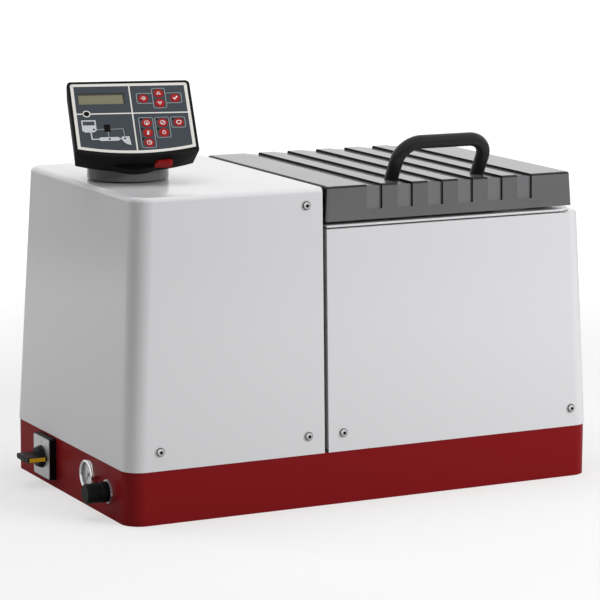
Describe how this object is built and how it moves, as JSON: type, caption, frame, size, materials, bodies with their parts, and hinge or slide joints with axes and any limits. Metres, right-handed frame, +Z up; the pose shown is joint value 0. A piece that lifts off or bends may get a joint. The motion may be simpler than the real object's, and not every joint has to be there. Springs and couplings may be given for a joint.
{
  "type": "hot_melt_glue_unit",
  "caption": "Bench-top hot melt glue unit: red base, light grey housing, ribbed hinged tank lid with bow handle, and a swivelling, tilting keypad head",
  "frame": {"origin": "centre of the base's footprint, on the floor plane", "axes": "+X to the right as seen from the front, from the cabinet to the tank; -Y towards the front; +Z up"},
  "size_m": [0.8011, 0.461, 0.5996],
  "materials": {
    "base_paint": "satin red powder coat",
    "cover_paint": "satin light grey powder coat",
    "dark_steel": "black coated sheet",
    "steel": "bright zinc and bare steel",
    "cast_metal": "cast and machined aluminium",
    "brass": "turned brass",
    "felt": "pressed insulation felt",
    "seal": "silicone rubber",
    "black_plastic": "fine grained black",
    "lid_plastic": "satin dark grey",
    "board": "solder resist",
    "overlay": "printed film",
    "key_red": "moulded red",
    "yellow": "moulded yellow",
    "glass": "clear",
    "chrome": "polished",
    "pointer_black": "matte black"
  },
  "bodies": {
    "housing": {"base_tray": "base_paint", "chassis_plate": "dark_steel", "partition_wall": "dark_steel", "cabinet_cover": "cover_paint", "front_panel": "cover_paint", "end_panel": "cover_paint", "top_deck": "cover_paint", "cover_screws": "steel", "tank": "cast_metal", "tank_insulation": "felt", "strainer": "steel", "manifold": "cast_metal", "manifold_standoffs": "steel", "filter_cartridge": "brass", "heater_cartridges": "steel", "hose_outlets": "brass", "hose_sockets": "black_plastic", "air_cylinder": "cast_metal", "power_supply": "steel", "control_board": "board", "cable_gland": "black_plastic", "air_inlet": "brass", "regulator_body": "black_plastic", "regulator_nut": "steel", "gauge_case": "chrome", "gauge_glass": "glass", "switch_body": "black_plastic", "switch_frame": "black_plastic", "switch_plate": "steel", "hinge_brackets": "steel", "hinge_pins": "steel", "swivel_bush": "brass"},
    "lid": {"lid_shell": "lid_plastic", "lid_liner": "steel", "lid_gasket": "seal", "lid_handle": "black_plastic", "hinge_arms": "steel"},
    "swivel": {"turntable": "black_plastic", "tilt_pin": "steel"},
    "head": {"head_shell": "black_plastic", "head_bezel": "black_plastic", "keypad_overlay": "overlay", "display_module": "board"},
    "release_button": {"release_button": "key_red"},
    "switch_handle": {"switch_handle": "black_plastic"},
    "padlock_slide": {"padlock_slide": "yellow"},
    "regulator_spindle": {"regulator_spindle": "steel"},
    "regulator_knob": {"regulator_knob": "black_plastic"},
    "gauge_pointer": {"gauge_pointer": "pointer_black"},
    "pump_piston": {"pump_piston": "steel"},
    "key_back": {"key_back": "key_red"},
    "key_up": {"key_up": "key_red"},
    "key_down": {"key_down": "key_red"},
    "key_confirm": {"key_confirm": "key_red"},
    "key_heat": {"key_heat": "key_red"},
    "key_temperature": {"key_temperature": "key_red"},
    "key_timer": {"key_timer": "key_red"},
    "key_standby": {"key_standby": "key_red"},
    "key_hand": {"key_hand": "key_red"},
    "key_cycle": {"key_cycle": "key_red"}
  },
  "joints": [
    {"name": "lid_hinge", "type": "hinge", "parent": "housing", "child": "lid", "pos_m": [0.1382, 0.21015, 0.4065], "axis": [-1, 0, 0], "range_deg": [0, 100]},
    {"name": "head_swivel", "type": "hinge", "parent": "housing", "child": "swivel", "pos_m": [-0.2815, 0.003, 0.4608], "axis": [0, 0, 1], "range_deg": [-76, 104]},
    {"name": "head_tilt", "type": "hinge", "parent": "swivel", "child": "head", "pos_m": [-0.28032, 0.00786, 0.505], "axis": [0.9715, -0.2368, 0], "range_deg": [-30, 0]},
    {"name": "release_press", "type": "slide", "parent": "head", "child": "release_button", "axis": [0.1529, 0.6271, 0.7638], "range_m": [0, 0.002], "stiffness_N_per_m": 600},
    {"name": "main_switch_turn", "type": "hinge", "parent": "housing", "child": "switch_handle", "pos_m": [-0.378, 0.0805, 0.0426], "axis": [1, 0, 0], "range_deg": [0, 90]},
    {"name": "padlock_pull", "type": "slide", "parent": "switch_handle", "child": "padlock_slide", "axis": [0, -1, 0], "range_m": [0, 0.009]},
    {"name": "regulator_turn", "type": "hinge", "parent": "housing", "child": "regulator_spindle", "pos_m": [-0.378, -0.1425, 0.0374], "axis": [1, 0, 0], "range_deg": [0, 1080]},
    {"name": "regulator_pull", "type": "slide", "parent": "regulator_spindle", "child": "regulator_knob", "axis": [-1, 0, 0], "range_m": [0, 0.0035]},
    {"name": "gauge_turn", "type": "hinge", "parent": "housing", "child": "gauge_pointer", "pos_m": [-0.38, -0.0818, 0.0489], "axis": [1, 0, 0], "range_deg": [0, 270], "stiffness_Nm_per_rad": 0.0005},
    {"name": "pump_stroke", "type": "slide", "parent": "housing", "child": "pump_piston", "axis": [1, 0, 0], "range_m": [0, 0.04]},
    {"name": "key_back_press", "type": "slide", "parent": "head", "child": "key_back", "axis": [0.1809, 0.7421, -0.6455], "range_m": [0, 0.0005], "stiffness_N_per_m": 1000},
    {"name": "key_up_press", "type": "slide", "parent": "head", "child": "key_up", "axis": [0.1809, 0.7421, -0.6455], "range_m": [0, 0.0005], "stiffness_N_per_m": 1000},
    {"name": "key_down_press", "type": "slide", "parent": "head", "child": "key_down", "axis": [0.1809, 0.7421, -0.6455], "range_m": [0, 0.0005], "stiffness_N_per_m": 1000},
    {"name": "key_confirm_press", "type": "slide", "parent": "head", "child": "key_confirm", "axis": [0.1809, 0.7421, -0.6455], "range_m": [0, 0.0005], "stiffness_N_per_m": 1000},
    {"name": "key_heat_press", "type": "slide", "parent": "head", "child": "key_heat", "axis": [0.1809, 0.7421, -0.6455], "range_m": [0, 0.0005], "stiffness_N_per_m": 1000},
    {"name": "key_temperature_press", "type": "slide", "parent": "head", "child": "key_temperature", "axis": [0.1809, 0.7421, -0.6455], "range_m": [0, 0.0005], "stiffness_N_per_m": 1000},
    {"name": "key_timer_press", "type": "slide", "parent": "head", "child": "key_timer", "axis": [0.1809, 0.7421, -0.6455], "range_m": [0, 0.0005], "stiffness_N_per_m": 1000},
    {"name": "key_standby_press", "type": "slide", "parent": "head", "child": "key_standby", "axis": [0.1809, 0.7421, -0.6455], "range_m": [0, 0.0005], "stiffness_N_per_m": 1000},
    {"name": "key_hand_press", "type": "slide", "parent": "head", "child": "key_hand", "axis": [0.1809, 0.7421, -0.6455], "range_m": [0, 0.0005], "stiffness_N_per_m": 1000},
    {"name": "key_cycle_press", "type": "slide", "parent": "head", "child": "key_cycle", "axis": [0.1809, 0.7421, -0.6455], "range_m": [0, 0.0005], "stiffness_N_per_m": 1000}
  ]
}
